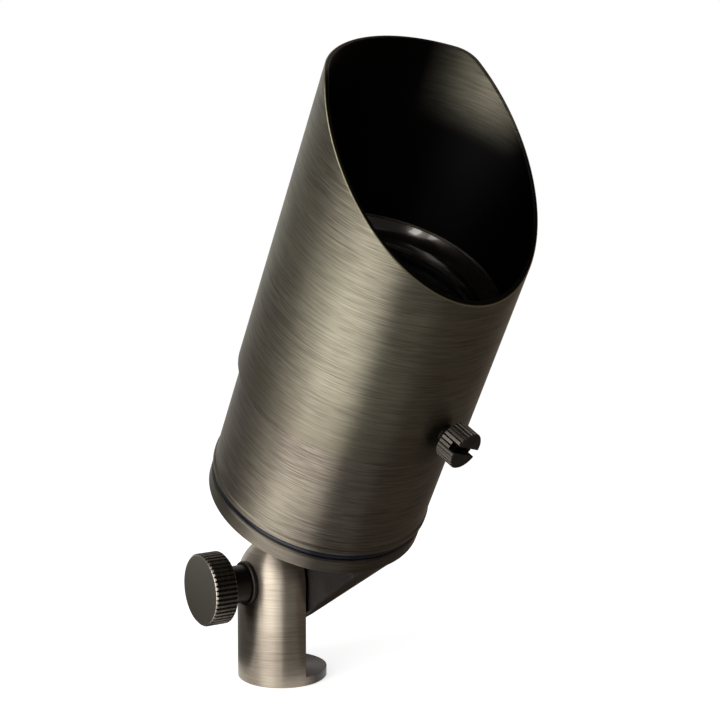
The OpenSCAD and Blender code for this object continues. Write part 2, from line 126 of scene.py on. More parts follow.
@dataclass(frozen=True)
class Frame:
    """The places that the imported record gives.

    Attributes:
        pivot: the tilt joint, along the clamp knob.
        head: the head's axis, from the height of the tilt joint.
        shroud: the shroud's axis, a little to one side of the head's.
        screw: the thumb screw, outwards from the shroud's axis.
    """

    pivot: Place
    head: Place
    shroud: Place
    screw: Place

    @staticmethod
    def read(joints: list[dict]) -> "Frame":
        """Reads the places from the record's joints.

        Args:
            joints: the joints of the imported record.

        Returns:
            The places.
        """
        named = {joint["name"]: joint for joint in joints}
        pivot = Vector(named["head_tilt"]["pos_m"])
        head_axis = Vector(named["barrel_turn"]["axis"]).normalized()
        barrel = Vector(named["barrel_turn"]["pos_m"])
        head = barrel + (pivot - barrel).dot(head_axis) * head_axis
        screw = Place(Vector(named["thumb_screw_turn"]["pos_m"]), Vector(named["thumb_screw_turn"]["axis"]))
        outward = screw.middle - SCREW_JOINT_RADIUS * screw.axis.normalized()
        return Frame(
            pivot=Place(pivot, Vector((-1.0, 0.0, 0.0))),
            head=Place(head, head_axis),
            shroud=Place(outward - (outward - head).dot(head_axis) * head_axis, head_axis),
            screw=Place(outward, screw.axis),
        )


# Shader helpers


class Shop:
    """Adds and joins shader nodes in one tree."""

    def __init__(self, tree: Tree) -> None:
        """Keeps the tree.

        Args:
            tree: the node tree that the nodes go into.
        """
        self.tree = tree

    def add(self, kind: str, **settings: object) -> bpy.types.Node:
        """Adds a node and sets its properties.

        Args:
            kind: the node's type name.
            settings: properties by name.

        Returns:
            The new node.
        """
        node = self.tree.nodes.new(kind)
        for name, value in settings.items():
            setattr(node, name, value)
        return node

    def feed(self, socket: Socket, source: object) -> None:
        """Links a socket to another, or sets its value.

        Args:
            socket: the input.
            source: an output socket, or a plain value.
        """
        if isinstance(source, bpy.types.NodeSocket):
            self.tree.links.new(source, socket)
        elif source is not None:
            socket.default_value = source

    def fill(self, node: bpy.types.Node, **inputs: object) -> bpy.types.Node:
        """Feeds a node's inputs by name.

        Args:
            node: the node.
            inputs: output sockets or plain values by name, with _ for a space.

        Returns:
            The node.
        """
        for name, source in inputs.items():
            self.feed(node.inputs[name.replace("_", " ")], source)
        return node

    def math(self, operation: str, a: object, b: object = None, clamp: bool = False) -> Socket:
        """Adds a Math node.

        Args:
            operation: its operation.
            a: first input.
            b: second input, where it has one.
            clamp: whether the result is kept within 0 and 1.

        Returns:
            The result's socket.
        """
        node = self.add("ShaderNodeMath", operation=operation, use_clamp=clamp)
        self.feed(node.inputs[0], a)
        self.feed(node.inputs[1], b)
        return node.outputs[0]

    def vector(self, operation: str, a: object, b: object = None) -> Socket:
        """Adds a Vector Math node.

        Args:
            operation: its operation.
            a: first input.
            b: second input, where it has one.

        Returns:
            The result's socket, a number for a length or a dot product and a vector otherwise.
        """
        node = self.add("ShaderNodeVectorMath", operation=operation)
        self.feed(node.inputs[0], a)
        self.feed(node.inputs[1], b)
        return node.outputs["Value" if operation in ("LENGTH", "DOT_PRODUCT") else "Vector"]

    def combine(self, *parts: object) -> Socket:
        """Makes a vector of up to three numbers, with 0 for those left out.

        Args:
            parts: its X, Y and Z.

        Returns:
            The vector's socket.
        """
        node = self.add("ShaderNodeCombineXYZ")
        for socket, source in zip(node.inputs, parts):
            self.feed(socket, source)
        return node.outputs[0]

    def split(self, vector: Socket) -> tuple[Socket, ...]:
        """Takes a vector apart.

        Args:
            vector: the vector.

        Returns:
            The sockets of its X, Y and Z.
        """
        node = self.add("ShaderNodeSeparateXYZ")
        self.feed(node.inputs[0], vector)
        return tuple(node.outputs)

    def reach(self, vector: Socket) -> Socket:
        """Returns a point's distance from the Z axis."""
        return self.vector("LENGTH", self.vector("MULTIPLY", vector, (1.0, 1.0, 0.0)))

    def span(
        self, value: object, low: object = 0.0, high: object = 1.0, start: object = 0.0, end: object = 1.0
    ) -> Socket:
        """Adds a smooth, clamped Map Range node.

        Args:
            value: the number that is mapped.
            low: where the range starts.
            high: where it ends.
            start: the result at its start.
            end: the result at its end.

        Returns:
            The result's socket.
        """
        node = self.add("ShaderNodeMapRange", interpolation_type="SMOOTHSTEP")
        for socket, source in zip(node.inputs, (value, low, high, start, end)):
            self.feed(socket, source)
        return node.outputs[0]

    def mix(self, share: object, a: object, b: object) -> Socket:
        """Adds a colour Mix node.

        Args:
            share: how much of b shows.
            a: first colour.
            b: second colour.

        Returns:
            The mixed colour's socket.
        """
        node = self.add("ShaderNodeMix", data_type="RGBA")
        self.feed(node.inputs[0], share)
        self.feed(node.inputs[6], shade(a))
        self.feed(node.inputs[7], shade(b))
        return node.outputs[2]

    def noise(self, vector: Socket, scale: object, detail: float, roughness: float = 0.5) -> Socket:
        """Adds a Noise texture.

        Args:
            vector: where it is read.
            scale: its frequency.
            detail: how many finer layers it has.
            roughness: how strong they are.

        Returns:
            The noise value's socket.
        """
        node = self.add("ShaderNodeTexNoise", noise_dimensions="3D", normalize=True)
        self.fill(node, Vector=vector, Scale=scale, Detail=detail, Roughness=roughness)
        return node.outputs[0]

    def group(self, tree: Tree, **inputs: object) -> bpy.types.Node:
        """Places a shared effect.

        Args:
            tree: the effect's node group.
            inputs: its values by name, with _ for a space.

        Returns:
            The group's node.
        """
        return self.fill(self.add("ShaderNodeGroup", node_tree=tree), **inputs)


def shade(colour: object) -> object:
    """Gives a plain colour its alpha.

    Args:
        colour: three numbers, or a socket.

    Returns:
        The colour with its alpha, or the socket as it is.
    """
    if isinstance(colour, tuple) and len(colour) == 3:
        return (*colour, 1.0)
    return colour


class Effect:
    """A shader node group that several finishes share."""

    def __init__(self, name: str, numbers: dict[str, float]) -> None:
        """Starts the group with a place to read from and its numbers.

        Args:
            name: the group's name.
            numbers: its number inputs, with their usual values.
        """
        self.tree = bpy.data.node_groups.new(name, "ShaderNodeTree")
        self.shop = Shop(self.tree)
        face = self.tree.interface
        face.new_socket(name="Vector", in_out="INPUT", socket_type="NodeSocketVector")
        for label, value in numbers.items():
            socket = face.new_socket(name=label, in_out="INPUT", socket_type="NodeSocketFloat")
            socket.default_value = value
        self.inputs = self.shop.add("NodeGroupInput").outputs
        self.results: list[tuple[str, Socket]] = []

    def put(self, label: str, result: Socket) -> None:
        """Names a result.

        Args:
            label: the output's name.
            result: what feeds it.
        """
        self.tree.interface.new_socket(name=label, in_out="OUTPUT", socket_type="NodeSocketFloat")
        self.results.append((label, result))

    def close(self) -> Tree:
        """Joins the results to the group's outputs.

        Returns:
            The group.
        """
        outlet = self.shop.add("NodeGroupOutput")
        for label, result in self.results:
            self.shop.feed(outlet.inputs[label], result)
        return self.tree


def brushing_effect() -> Tree:
    """Makes the marks of a brush held against a turning piece: fine lines round its Z axis.

    Returns:
        The group, with lines, wide bands, short scratches and short dark cuts.
    """
    effect = Effect("Brushing", {"Pitch": 3.6, "Reach": 0.08, "Seed": 0.0})
    shop, inputs = effect.shop, effect.inputs
    stretch = shop.combine(inputs["Reach"], inputs["Reach"], inputs["Pitch"])
    drawn = shop.vector("MULTIPLY", inputs["Vector"], stretch)
    placed = shop.vector("ADD", drawn, shop.combine(inputs["Seed"]))
    shortened = shop.vector("MULTIPLY", placed, (1.6, 1.6, 1.0))
    fine = shop.noise(placed, scale=1.0, detail=2.0, roughness=0.8)
    wide = shop.noise(placed, scale=0.2, detail=3.0, roughness=0.6)
    short = shop.noise(shortened, scale=1.0, detail=1.0, roughness=0.5)
    effect.put("Lines", shop.span(fine, low=0.34, high=0.66))
    effect.put("Bands", shop.span(wide, low=0.3, high=0.7))
    effect.put("Scratches", shop.span(short, low=0.58, high=0.68))
    effect.put("Cuts", shop.span(short, low=0.32, high=0.42, start=1.0, end=0.0))
    return effect.close()


def patina_effect() -> Tree:
    """Makes the soft clouds of an aged surface.

    Returns:
        The group.
    """
    effect = Effect("Patina", {"Scale": 0.05, "Seed": 0.0})
    shop, inputs = effect.shop, effect.inputs
    placed = shop.vector("ADD", inputs["Vector"], shop.combine(0.0, inputs["Seed"]))
    cloud = shop.noise(placed, inputs["Scale"], detail=3.0, roughness=0.55)
    effect.put("Clouds", shop.span(cloud, low=0.34, high=0.66))
    return effect.close()


def wear_effect() -> Tree:
    """Makes the bright wear that handling leaves on a turned piece.

    Returns:
        The group, with the wear along the crests and on the outer rim.
    """
    effect = Effect("Crest wear", {"Radius": 10.0, "Width": 0.2, "Rim": 0.0, "Rim width": 0.5, "Even": 0.0})
    shop, inputs = effect.shop, effect.inputs
    inner = shop.math("SUBTRACT", inputs["Radius"], inputs["Width"])
    crest = shop.span(shop.reach(inputs["Vector"]), inner, inputs["Radius"])
    _, _, height = shop.split(inputs["Vector"])
    gap = shop.math("ABSOLUTE", shop.math("SUBTRACT", height, inputs["Rim"]))
    rim = shop.span(gap, high=inputs["Rim width"], start=1.0, end=0.0)
    patches = shop.noise(inputs["Vector"], scale=2.2, detail=3.0, roughness=0.6)
    broken = shop.math("MAXIMUM", shop.span(patches, low=0.36, high=0.6), inputs["Even"])
    effect.put("Crests", shop.math("MULTIPLY", crest, broken))
    effect.put("Rims", shop.math("MULTIPLY", shop.math("MULTIPLY", crest, rim), broken))
    return effect.close()


def bore_effect() -> Tree:
    """Makes the mask of a tube's inside, which ends a little way into its wall.

    Returns:
        The group.
    """
    effect = Effect("Bore", {"Radius": 10.0, "Edge": 0.15})
    shop, inputs = effect.shop, effect.inputs
    inner, distance = inputs["Radius"], shop.reach(inputs["Vector"])
    outer = shop.math("ADD", inner, inputs["Edge"])
    effect.put("Inside", shop.span(distance, inner, outer, start=1.0, end=0.0))
    return effect.close()


# Finishes


class Metalness(Enum):
    """Whether a finish is bare metal or not."""

    METAL = 1.0
    OTHER = 0.0


@dataclass(frozen=True)
class Plain:
    """A finish with one colour, soft clouds in it and a fine grain.

    Attributes:
        name: the material's name.
        colour: its colour.
        dark: the colour of its clouds.
        roughness: its mean roughness.
        metal: whether it is metal.
        grain: height of the grain in millimetres.
        grain_scale: frequency of the grain, per millimetre.
        cloud_scale: frequency of the clouds, per millimetre.
        swing: share by which the roughness differs between the clouds.
        coat: weight of a clear coat.
        coat_roughness: roughness of that coat.
        gloss: level of its reflection, where 0.5 is usual.
        tint: colour of its reflection.
    """

    name: str
    colour: Colour
    dark: Colour
    roughness: float
    metal: Metalness = Metalness.OTHER
    grain: float = 0.004
    grain_scale: float = 6.0
    cloud_scale: float = 0.12
    swing: float = 0.12
    coat: float = 0.0
    coat_roughness: float = 0.06
    gloss: float = 0.5
    tint: Colour = WHITE

    def build(self, effects: "Effects") -> bpy.types.Material:
        """Builds the material.

        Args:
            effects: the shared node groups.

        Returns:
            The material.
        """
        material, shop, shader = new_material(self.name)
        local = millimetres(shop)
        clouds = shop.group(effects.patina, Vector=local, Scale=self.cloud_scale).outputs["Clouds"]
        smoother, rougher = self.roughness * (1.0 - self.swing), self.roughness * (1.0 + self.swing)
        shop.fill(
            shader,
            Base_Color=shop.mix(clouds, self.colour, self.dark),
            Roughness=shop.span(clouds, start=smoother, end=rougher),
            Metallic=self.metal.value,
            Coat_Weight=self.coat,
            Coat_Roughness=self.coat_roughness,
            Specular_IOR_Level=self.gloss,
            Specular_Tint=shade(self.tint),
        )
        bump(shop, shader, shop.noise(local, self.grain_scale, detail=2.0, roughness=0.6), self.grain)
        return material


@dataclass(frozen=True)
class Brushed:
    """Aged brass, brushed round a turned piece's axis.

    Attributes:
        name: the material's name.
        light: the colour of the brushed crests.
        body: the usual colour.
        brown: the colour of the patina's clouds.
        roughness: mean roughness along the marks.
        spread: how much wider the gloss spreads across the marks.
        pitch: brush lines per millimetre.
        depth: depth of the marks in millimetres.
        seed: moves the pattern.
        marked: how strongly the brush marks show.
        lines: share of light and dark in the fine lines, at full marks.
        cuts: share of the short scratches and cuts, at full marks.
        bands: share of brown in the wide bands.
        swing: how much the roughness differs between the bands.
        cloud_scale: frequency of the patina's clouds, per millimetre.
        bore: radius in millimetres within which the metal is painted dark as shade inside the tube, or 0.
        depths: heights between which that painted shade eases off towards the rim, into a painted sheen.
        bright: direction from the axis of the painted sheen, in which the shade eases off, as X and Y.
        turned: how far a point has to lie in that direction, from where it starts to where it is full.
        rubbed: share of bright metal on the worn edge.
        flat: greatest X and Z of a milled flat that is painted darker as shade, if there is one.
        ledge: least X and Z of a milled ledge whose faces are painted darker as shade, if there is one.
        under: where the shade under that ledge starts and is full, in X from the ledge, and its share.
        milled_edge: width in millimetres of the edge of a milled face's painted shade.
        low: heights between which the colour rises from brown to its usual tone, if it does.
        low_brown: share of brown below them.
    """

    name: str
    light: Colour
    body: Colour
    brown: Colour
    roughness: float = 0.5
    spread: float = 0.9
    pitch: float = 3.6
    depth: float = 0.005
    seed: float = 0.0
    marked: float = 1.0
    lines: float = 0.62
    cuts: float = 0.3
    bands: float = 0.1
    swing: float = 0.012
    cloud_scale: float = 0.045
    bore: float = 0.0
    depths: tuple[float, float] = (133.0, 149.0)
    bright: tuple[float, float] = (0.788, 0.616)
    turned: tuple[float, float] = (0.82, 0.98)
    rubbed: float = 0.6
    flat: tuple[float, float] | None = None
    ledge: tuple[float, float] | None = None
    under: tuple[float, float, float] = (-2.0, 4.0, 0.9)
    milled_edge: float = 0.05
    low: tuple[float, float] | None = None
    low_brown: float = 0.6

    def build(self, effects: "Effects", place: Place) -> bpy.types.Material:
        """Builds the material for pieces turned about one axis.

        Args:
            effects: the shared node groups.
            place: the axis that the pieces were turned about.

        Returns:
            The material.
        """
        material, shop, shader = new_material(self.name)
        local = millimetres(shop, place)
        marks = shop.group(effects.brushing, Vector=local, Pitch=self.pitch, Seed=self.seed)
        aged = shop.group(effects.patina, Vector=local, Scale=self.cloud_scale, Seed=self.seed)
        colour = self.draw(shop, marks, shop.mix(aged.outputs["Clouds"], self.body, self.brown))
        colour = self.darken_faces(shop, local, colour)
        if self.bore:
            colour = self.line_edges(shop, effects, local, colour)
        rougher, smoother = self.roughness + self.swing, self.roughness - self.swing
        shop.fill(
            shader,
            Base_Color=colour,
            Roughness=shop.span(marks.outputs["Bands"], start=rougher, end=smoother),
            Metallic=Metalness.METAL.value,
            Anisotropic=self.spread,
            Anisotropic_Rotation=QUARTER_TURN,
            Tangent=round_tangent(shop, place),
        )
        bump(shop, shader, marks.outputs["Lines"], self.depth)
        return material

    def draw(self, shop: Shop, marks: bpy.types.Node, toned: Socket) -> Socket:
        """Draws the brush marks over the aged colour.

        Args:
            shop: the material's shop.
            marks: the brush marks.
            toned: the aged colour.

        Returns:
            The colour's socket.
        """
        least, cuts = self.lines / 2 * (1.0 - self.marked), self.cuts * self.marked
        lit = shop.span(marks.outputs["Lines"], start=least, end=least + self.lines * self.marked)
        scratched = shop.math("MULTIPLY", marks.outputs["Scratches"], cuts)
        drawn = shop.mix(shop.math("ADD", lit, scratched, clamp=True), toned, self.light)
        cut = shop.mix(shop.math("MULTIPLY", marks.outputs["Cuts"], cuts), drawn, SCRATCHED)
        return shop.mix(shop.span(marks.outputs["Bands"], start=self.bands, end=0.0), cut, self.brown)

    def darken_faces(self, shop: Shop, local: Socket, colour: Socket) -> Socket:
        """Browns the lower part and paints shade on the milled faces and under the ledge, where the piece
        has them.

        Args:
            shop: the material's shop.
            local: the coordinates in millimetres.
            colour: the brushed colour.

        Returns:
            The colour's socket.
        """
        x, _, z = shop.split(local)
        if self.low:
            colour = shop.mix(shop.span(z, *self.low, start=self.low_brown, end=0.0), colour, self.brown)
        # Painted shade on the milled flat.
        if self.flat:
            side, top = self.flat
            milled = shop.span(x, side, side + self.milled_edge, start=1.0, end=0.0)
            below = shop.span(z, top - self.milled_edge, top, start=1.0, end=0.0)
            colour = shop.mix(shop.math("MULTIPLY", milled, below), colour, MILLED_FACE_SHADE)
        # Painted shade on the milled ledge and on the foot's side under it.
        if self.ledge:
            side, top = self.ledge
            milled = shop.span(x, side - self.milled_edge, side)
            above = shop.span(z, top - self.milled_edge, top)
            start, full, share = self.under
            shaded = shop.span(x, side + start, side + full, end=share)
            below = shop.math("MULTIPLY", shaded, shop.math("SUBTRACT", 1.0, above))
            dark = shop.math("ADD", shop.math("MULTIPLY", milled, above), below, clamp=True)
            colour = shop.mix(dark, colour, MILLED_FACE_SHADE)
        return colour

    def line_edges(self, shop: Shop, effects: "Effects", local: Socket, colour: Socket) -> Socket:
        """Paints shade into the inside of a tube, easing off into a painted sheen near the rim on one side,
        and brightens its worn edge.

        Args:
            shop: the material's shop.
            effects: the shared node groups.
            local: the coordinates in millimetres.
            colour: the colour outside.

        Returns:
            The colour's socket.
        """
        inside = shop.group(effects.bore, Vector=local, Radius=self.bore).outputs["Inside"]
        _, _, height = shop.split(local)
        towards = shop.vector("DOT_PRODUCT", local, (*(part / self.bore for part in self.bright), 0.0))
        # A painted sheen: near the rim on one side the painted shade eases off.
        eased = shop.math("MULTIPLY", shop.span(height, *self.depths), shop.span(towards, *self.turned))
        deep = shop.math("SUBTRACT", 1.0, eased)
        darker = shop.mix(shop.math("MULTIPLY", inside, deep), colour, INSIDE_SHADE)
        worn = shop.add("ShaderNodeAttribute", attribute_name=WORN).outputs["Fac"]
        return shop.mix(shop.math("MULTIPLY", worn, self.rubbed), darker, WORN_BRASS)


@dataclass(frozen=True)
class Dark:
    """Dark aged brass of the small turned pieces, worn bright on its crests.

    Attributes:
        name: the material's name.
        body: the usual colour.
        worn: the colour of the worn crests.
        radius: radius of the crests in millimetres.
        rim: height of the worn rim along the axis, in millimetres.
        wear: how much of the wear shows.
        roughness: mean roughness.
        gloss_gain: how much smoother the worn metal is.
        neck: height in millimetres below which the piece takes the painted shade colour.
        crests: how much of the wear lies along the crests.
        crest_width: depth of that wear in millimetres.
        rim_width: width of the worn rim in millimetres.
        even: how even the wear is, from broken up at 0 to even at 1.
        face: the colour of the face at the rim's height, or none for the usual colour.
        step: height in millimetres over which one colour turns into the next.
        pitch: brush lines per millimetre.
        reach: frequency of the lines along their length, per millimetre.
        lines: how strongly they show.
        depth: their depth in millimetres.
    """

    name: str
    body: Colour
    worn: Colour
    radius: float
    rim: float
    wear: float = 0.8
    roughness: float = 0.38
    gloss_gain: float = 0.1
    neck: float = 0.0
    crests: float = 0.25
    crest_width: float = 0.25
    rim_width: float = 0.8
    even: float = 0.0
    face: Colour | None = None
    step: float = 0.3
    pitch: float = 3.0
    reach: float = 0.2
    lines: float = 0.2
    depth: float = 0.003

    def build(self, effects: "Effects", place: Place) -> bpy.types.Material:
        """Builds the material for a piece turned about one axis.

        Args:
            effects: the shared node groups.
            place: the axis that the piece was turned about.

        Returns:
            The material.
        """
        material, shop, shader = new_material(self.name)
        local = millimetres(shop, place)
        marks = shop.group(effects.brushing, Vector=local, Pitch=self.pitch, Reach=self.reach)
        lines = marks.outputs["Lines"]
        worn = shop.group(
            effects.wear,
            Vector=local,
            Radius=self.radius,
            Width=self.crest_width,
            Rim=self.rim,
            Rim_width=self.rim_width,
            Even=self.even,
        )
        along = shop.math("MULTIPLY", worn.outputs["Crests"], self.crests)
        rubbed = shop.math("ADD", worn.outputs["Rims"], along, clamp=True)
        share = shop.math("MULTIPLY", rubbed, self.wear)
        drawn = shop.mix(shop.math("MULTIPLY", lines, self.lines), self.body, self.worn)
        _, _, height = shop.split(local)
        # Below the neck the piece takes the painted shade colour.
        low = shop.span(height, self.neck - self.step, self.neck, start=1.0, end=0.0)
        base = shop.mix(low, drawn, PAINTED_SHADE_BRASS)
        if self.face:
            base = shop.mix(shop.span(height, self.rim - self.step, self.rim - FACE_EDGE), base, self.face)
        shop.fill(
            shader,
            Base_Color=shop.mix(share, base, self.worn),
            Roughness=shop.span(share, start=self.roughness, end=self.roughness - self.gloss_gain),
            Metallic=Metalness.METAL.value,
        )
        bump(shop, shader, lines, self.depth)
        return material


@dataclass(frozen=True)
class Clear:
    """Clear glass with faint smears.

    Attributes:
        name: the material's name.
        tint: its colour.
        roughness: its roughness where it is clean.
        smeared: how much rougher its smears are.
        smear_scale: frequency of the smears, per millimetre.
        ior: its index of refraction.
    """

    name: str
    tint: Colour
    roughness: float = 0.0
    smeared: float = 0.02
    smear_scale: float = 0.2
    ior: float = 1.6

    def build(self, effects: "Effects") -> bpy.types.Material:
        """Builds the material.

        Args:
            effects: the shared node groups.

        Returns:
            The material.
        """
        material, shop, shader = new_material(self.name)
        local = millimetres(shop)
        smears = shop.group(effects.patina, Vector=local, Scale=self.smear_scale).outputs["Clouds"]
        shop.fill(
            shader,
            Base_Color=shade(self.tint),
            Roughness=shop.span(smears, start=self.roughness, end=self.roughness + self.smeared),
            Transmission_Weight=1.0,
            IOR=self.ior,
        )
        return material


@dataclass(frozen=True)
class Effects:
    """The node groups that the finishes share.

    Attributes:
        brushing: the marks of a brush.
        patina: the clouds of age.
        wear: the bright wear of a small turned piece.
        bore: the inside of a tube.
    """

    brushing: Tree = field(default_factory=brushing_effect)
    patina: Tree = field(default_factory=patina_effect)
    wear: Tree = field(default_factory=wear_effect)
    bore: Tree = field(default_factory=bore_effect)


def new_material(name: str) -> tuple[bpy.types.Material, Shop, bpy.types.Node]:
    """Starts a material.

    Args:
        name: its name.

    Returns:
        The material, its shop and its shader node.
    """
    material = bpy.data.materials.new(name)
    material.use_nodes = True
    shop = Shop(material.node_tree)
    return material, shop, material.node_tree.nodes["Principled BSDF"]


def millimetres(shop: Shop, place: Place | None = None) -> Socket:
    """Reads the object's coordinates in millimetres, in a turned piece's own frame.

    Args:
        shop: the material's shop.
        place: the piece's frame, or none for the part's own.

    Returns:
        The coordinates' socket.
    """
    coordinates = shop.add("ShaderNodeTexCoord").outputs["Object"]
    mapping = shop.add("ShaderNodeMapping", vector_type="POINT")
    matrix = Matrix.Identity(4) if place is None else place.matrix().inverted()
    place_mm, turn = matrix.to_translation() / MM, matrix.to_euler()
    shop.fill(mapping, Vector=coordinates, Location=place_mm, Rotation=turn, Scale=(1.0 / MM,) * 3)
    return mapping.outputs[0]


def round_tangent(shop: Shop, place: Place) -> Socket:
    """Finds the direction round a turned piece's axis, at each point of its surface.

    Args:
        shop: the material's shop.
        place: the piece's frame.

    Returns:
        The direction's socket.
    """
    coordinates = shop.add("ShaderNodeTexCoord").outputs["Object"]
    arm = shop.vector("SUBTRACT", coordinates, tuple(place.middle))
    around = shop.vector("CROSS_PRODUCT", tuple(place.axis.normalized()), arm)
    turned = shop.add(
        "ShaderNodeVectorTransform", vector_type="VECTOR", convert_from="OBJECT", convert_to="WORLD"
    )
    shop.feed(turned.inputs[0], around)
    return shop.vector("NORMALIZE", turned.outputs[0])


def bump(shop: Shop, shader: bpy.types.Node, height: Socket, depth: float) -> None:
    """Gives the shader a relief.

    Args:
        shop: the material's shop.
        shader: its shader node.
        height: the relief, from 0 to 1.
        depth: what a height of 1 stands for, in millimetres.
    """
    relief = shop.fill(shop.add("ShaderNodeBump"), Strength=1.0, Distance=depth * MM, Height=height)
    shop.feed(shader.inputs["Normal"], relief.outputs[0])


# Turned pieces

# Distance in millimetres within which points of a turned piece are merged.
WELD = 0.0005


def into_mesh(name: str, shape: Shape) -> bpy.types.Mesh:
    """Makes a mesh of a shape, which is freed.

    Args:
        name: the mesh's name.
        shape: the shape.

    Returns:
        The mesh.
    """
    mesh = bpy.data.meshes.new(name)
    shape.to_mesh(mesh)
    shape.free()
    return mesh


def add_object(name: str, data: bpy.types.ID) -> bpy.types.Object:
    """Puts a new object into the scene.

    Args:
        name: the object's name.
        data: its mesh, light or camera.

    Returns:
        The object.
    """
    made = bpy.data.objects.new(name, data)
    bpy.context.scene.collection.objects.link(made)
    return made


def into_object(name: str, shape: Shape, matrix: Matrix) -> bpy.types.Object:
    """Makes an object of a shape, with its place in its mesh.

    Args:
        name: the object's name.
        shape: the shape in its own frame, in millimetres.
        matrix: the frame's place.

    Returns:
        The object.
    """
    bmesh.ops.recalc_face_normals(shape, faces=shape.faces)
    bmesh.ops.transform(shape, matrix=matrix @ Matrix.Scale(MM, 4), verts=shape.verts)
    return add_object(name, into_mesh(name, shape))


def cut_out(piece: bpy.types.Object, cutter: bpy.types.Object) -> None:
    """Cuts one object out of another and removes the cutter.

    Args:
        piece: what is cut.
        cutter: what cuts it.
    """
    cut = piece.modifiers.new("cut", "BOOLEAN")
    cut.operation = "DIFFERENCE"
    cut.solver = "EXACT"
    cut.object = cutter
    graph = bpy.context.evaluated_depsgraph_get()
    mesh = bpy.data.meshes.new_from_object(piece.evaluated_get(graph))
    piece.modifiers.clear()
    piece.data = mesh
    mesh.name = piece.name
    bpy.data.objects.remove(cutter)


def soften(piece: bpy.types.Object, limit: float) -> None:
    """Shades an object smooth, with hard edges where its faces meet at a wide angle.

    Args:
        piece: the object.
        limit: the angle from which an edge is hard, in degrees.
    """
    shape = bmesh.new()
    shape.from_mesh(piece.data)
    for face in shape.faces:
        face.smooth = True
    for edge in shape.edges:
        edge.smooth = edge.calc_face_angle(0.0) < math.radians(limit)
    shape.to_mesh(piece.data)
    shape.free()


def spin_profile(shape: Shape, profile: Points, steps: int, turns: float = 1.0, pitch: float = 0.0) -> None:
    """Turns an open or closed profile about the Z axis, up a helix where it has a pitch.

    Points closer than the weld distance are merged, which closes the seam and the poles.

    Args:
        shape: the shape it is added to.
        profile: radius and height of its points.
        steps: segments in a full turn.
        turns: how many turns it makes.
        pitch: rise in a turn.
    """
    points = [shape.verts.new((radius, 0.0, height)) for radius, height in profile]
    edges = [shape.edges.new(pair) for pair in zip(points, points[1:])]
    bmesh.ops.spin(
        shape,
        geom=points + edges,
        cent=(0.0, 0.0, 0.0),
        axis=(0.0, 0.0, 1.0),
        dvec=(0.0, 0.0, pitch / steps),
        angle=math.tau * turns,
        steps=round(steps * turns),
        use_merge=turns == 1.0,
    )
    bmesh.ops.remove_doubles(shape, verts=shape.verts, dist=WELD)


@dataclass(frozen=True)
class SlantedTube:
    """A tube with a square lower end and a slanted cut at its top, in millimetres.

    Attributes:
        bore: inner radius.
        outer: outer radius.
        bottom: height of its lower end.
        top: height of the square part of its upper end.
        low: height of the cut's low point, towards +X.
        slant: angle of the cut from square, in degrees.
        corner: radius between the cut and the square part.
        bevel: bevel of its edges.
        hold: width of the narrow face beside each bevel, which keeps the shading crisp.
        steps: segments round it.
        blank: height that its upper end is turned at, before it is moved down to the rim.
    """

    bore: float = 30.55
    outer: float = 31.75
    bottom: float = 69.6
    top: float = 156.5
    low: float = 118.0
    slant: float = 37.4
    corner: float = 9.0
    bevel: float = 0.14
    hold: float = 0.08
    steps: int = 240
    blank: float = 1000.0

    def rim(self, x: float) -> float:
        """Works out the rim's height at a distance towards the low side.

        Args:
            x: the distance from the tube's axis.

        Returns:
            The height.
        """
        slope = math.radians(self.slant)
        top_x = self.outer - (self.top - self.low) / math.tan(slope)
        arc_x = top_x - self.corner * math.tan(slope / 2)
        if x < arc_x:
            return self.top
        if x < arc_x + self.corner * math.sin(slope):
            return self.top - self.corner + math.sqrt(self.corner**2 - (x - arc_x) ** 2)
        return self.low + (self.outer - x) * math.tan(slope)

    def build(self) -> Shape:
        """Turns a square tube, marks its outer rim as worn and moves its upper end down to the cut.

        Returns:
            The tube's shape.
        """
        shape = bmesh.new()
        outer, bore, low, far = self.outer, self.bore, self.bottom, self.blank
        edge, hold = self.bevel, self.bevel + self.hold
        outside = [(outer - edge, low), (outer, low + edge), (outer, low + hold)]
        outside += [(outer, far - hold), (outer, far - edge), (outer - edge, far), (outer - hold, far)]
        inside = [(bore + hold, far), (bore + edge, far), (bore, far - edge), (bore, far - hold)]
        inside += [(bore, low + hold), (bore, low + edge), (bore + edge, low)]
        spin_profile(shape, [inside[-1], *outside, *inside], self.steps)
        worn = shape.verts.layers.float.new(WORN)
        past_bevel = 1.2 * edge
        for point in shape.verts:
            if point.co.z < far / 2:
                continue
            at_outside = point.co.xy.length > outer - past_bevel
            point[worn] = float(at_outside and point.co.z > far - past_bevel)
            point.co.z += self.rim(point.co.x) - far
        return shape


@dataclass(frozen=True)
class Domed:
    """A round glass whose face falls off in a wide rounded shoulder, in millimetres.

    Attributes:
        bottom: height of its back.
        edge: height of its edge.
        crown: height of its face.
        rim: its radius.
        flat: radius of the nearly flat middle.
        rise: how far the middle rises above the shoulder.
        ease: how far below the middle's height it is half way out.
        steps: segments round it.
    """

    bottom: float = 98.0
    edge: float = 99.6
    crown: float = 101.3
    rim: float = 28.45
    flat: float = 16.0
    rise: float = 0.1
    ease: float = 0.03
    steps: int = 128

    def build(self) -> Shape:
        """Turns the glass.

        Returns:
            Its shape.
        """
        shape = bmesh.new()
        width, height = self.rim - self.flat, self.crown - self.edge - self.rise
        profile = [(0.0, self.bottom), (self.rim, self.bottom)]
        for angle in range(0, 91, 6):
            bend = math.radians(angle)
            profile.append((self.flat + width * math.cos(bend), self.edge + height * math.sin(bend)))
        profile += [(self.flat / 2, self.crown - self.ease), (0.0, self.crown)]
        spin_profile(shape, profile, self.steps)
        return shape


